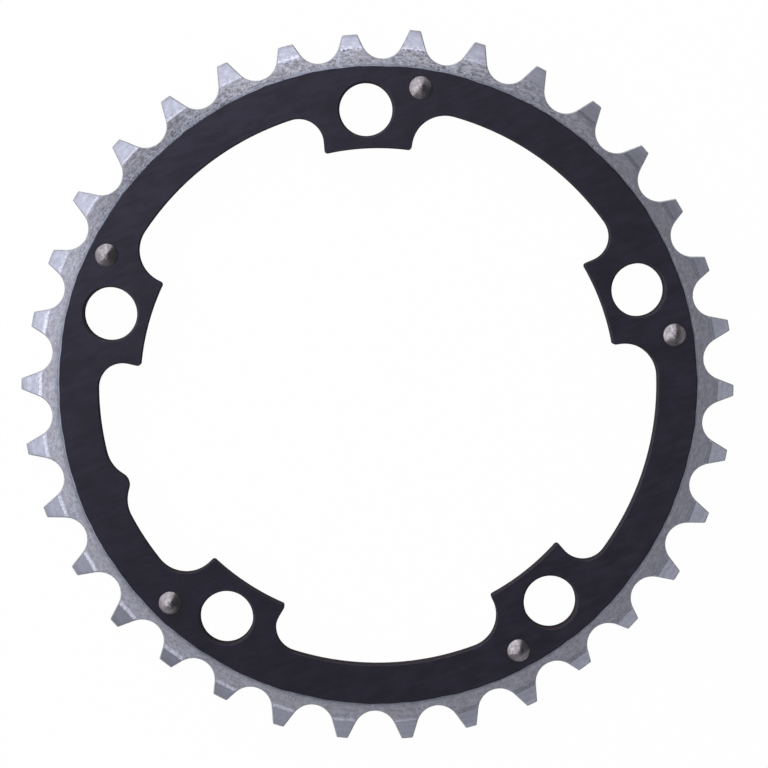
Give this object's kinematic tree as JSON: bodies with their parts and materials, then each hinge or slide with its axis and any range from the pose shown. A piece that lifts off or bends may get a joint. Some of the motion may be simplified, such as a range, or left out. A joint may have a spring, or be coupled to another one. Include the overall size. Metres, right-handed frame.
{
  "type": "bicycle chainring",
  "caption": "Toothed ring for a bicycle crank: black anodised web with inward bolt tabs and an alignment nub, bare bevelled teeth, and conical steel shift pins.",
  "frame": {"origin": "centre of the bolt circle, in the plane of the flat back face that the ring lies on", "axes": "+Z along the crank's axis, out of the face with the shift pins; +X through a bolt hole and a tooth; the alignment nub is on -X"},
  "size_m": [0.1407, 0.1414, 0.0051],
  "materials": {
    "anodised_aluminium": "matte black anodised web with faint milling marks; the rim and the teeth are bare machined aluminium",
    "pin_steel": "satin steel, slightly rough from pressing"
  },
  "bodies": {
    "root": {"chainring": "anodised_aluminium", "shift_pin_1": "pin_steel", "shift_pin_2": "pin_steel", "shift_pin_3": "pin_steel", "shift_pin_4": "pin_steel", "shift_pin_5": "pin_steel"}
  },
  "joints": []
}
